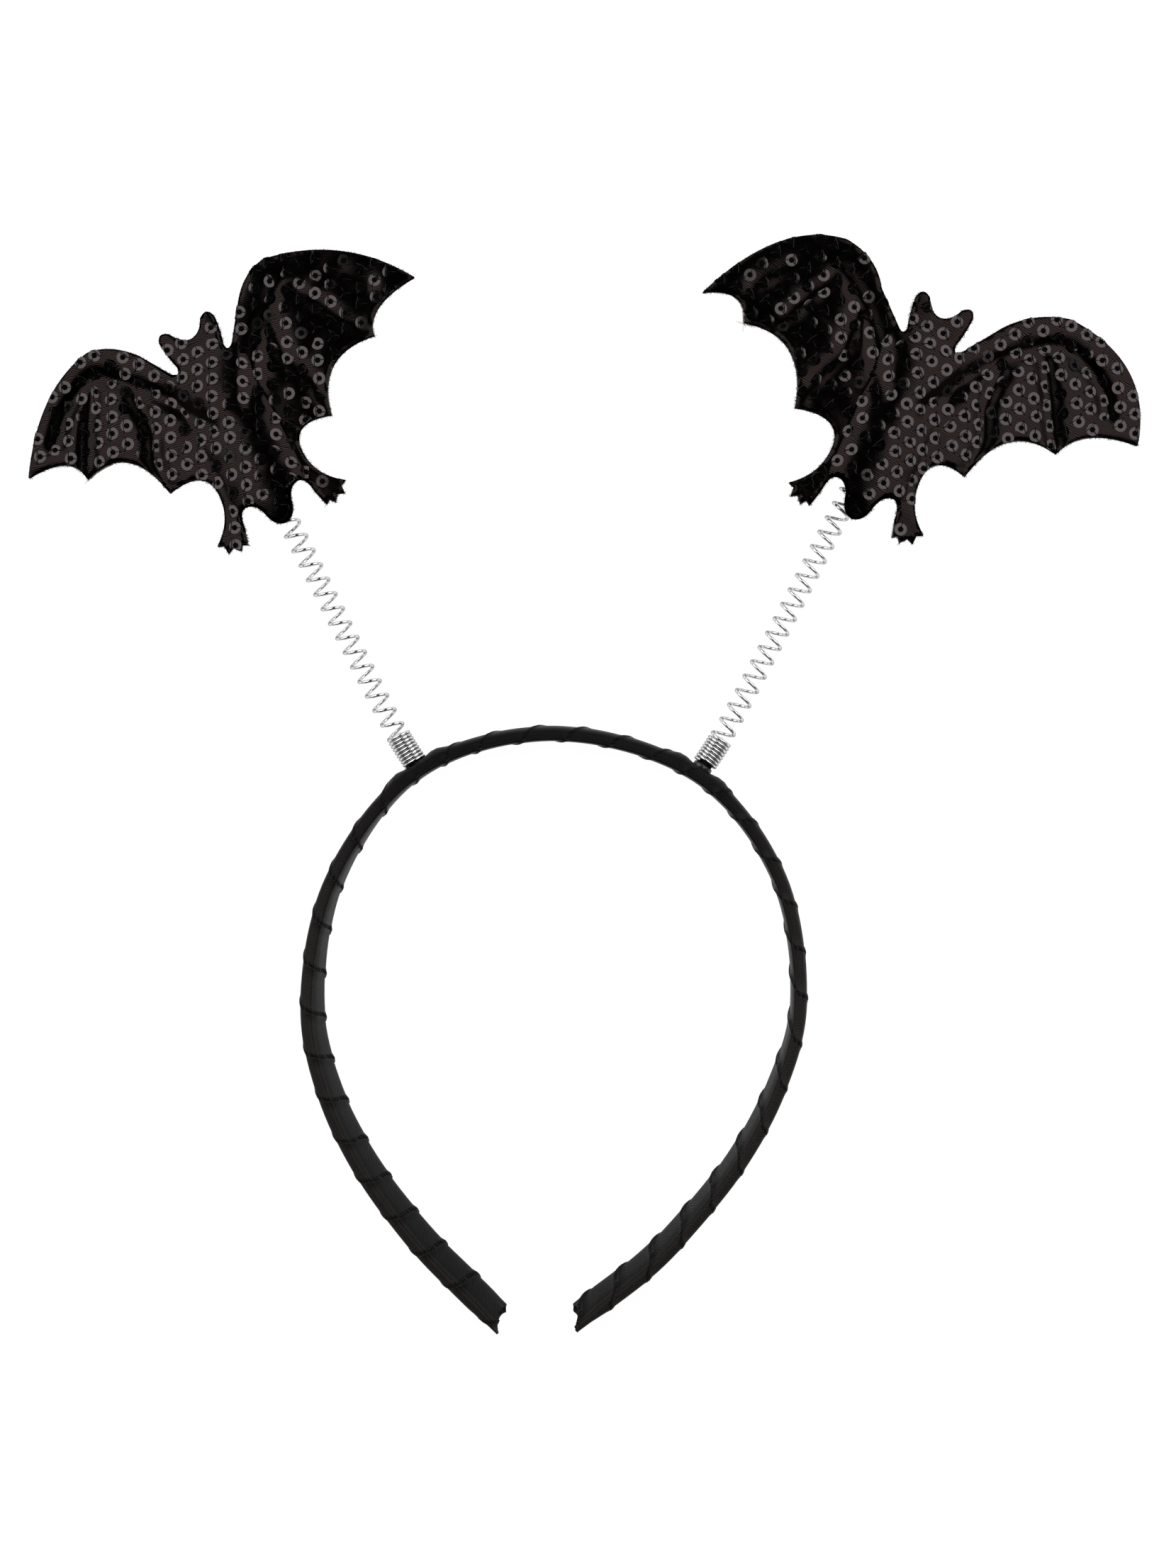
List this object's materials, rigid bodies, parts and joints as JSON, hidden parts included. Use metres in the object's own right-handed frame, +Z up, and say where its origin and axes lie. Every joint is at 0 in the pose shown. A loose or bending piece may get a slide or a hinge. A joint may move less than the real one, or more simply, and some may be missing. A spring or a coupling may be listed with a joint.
{
  "type": "bat headband",
  "caption": "Costume headband: ribbon-wound plastic hoop with padded sequin bats that sway on wire springs, lying on its side.",
  "frame": {"origin": "under the middle of the whole object's box, on the surface that it lies on", "axes": "+Z up from the surface, +Y from the hoop's open ends to its crown and the bats, +X to the right seen from above"},
  "size_m": [0.2672, 0.2624, 0.0153],
  "materials": {
    "plastic": "black moulded plastic, glossy where the pegs show inside the springs",
    "ribbon": "black satin ribbon with corded selvedges, wound on a slant",
    "wire": "bright plated spring wire",
    "sequin_cloth": "black knit sewn all over with small black ring sequins",
    "felt": "black craft felt"
  },
  "bodies": {
    "band": {"hoop_core": "plastic", "ribbon_wrap": "ribbon"},
    "left_bat": {"spring_left": "wire", "bat_left": "sequin_cloth", "backing_left": "felt", "tab_left": "felt"},
    "right_bat": {"spring_right": "wire", "bat_right": "sequin_cloth", "backing_right": "felt", "tab_right": "felt"}
  },
  "joints": [
    {"name": "sway_left", "type": "hinge", "parent": "band", "child": "left_bat", "pos_m": [-0.0445, 0.011, 0.0055], "axis": [0, 0, 1], "range_deg": [-15, 30], "stiffness_Nm_per_rad": 0.035, "deforming": ["spring_left"]},
    {"name": "sway_right", "type": "hinge", "parent": "band", "child": "right_bat", "pos_m": [0.0328, 0.0098, 0.0055], "axis": [0, 0, 1], "range_deg": [-30, 15], "stiffness_Nm_per_rad": 0.035, "deforming": ["spring_right"]}
  ]
}
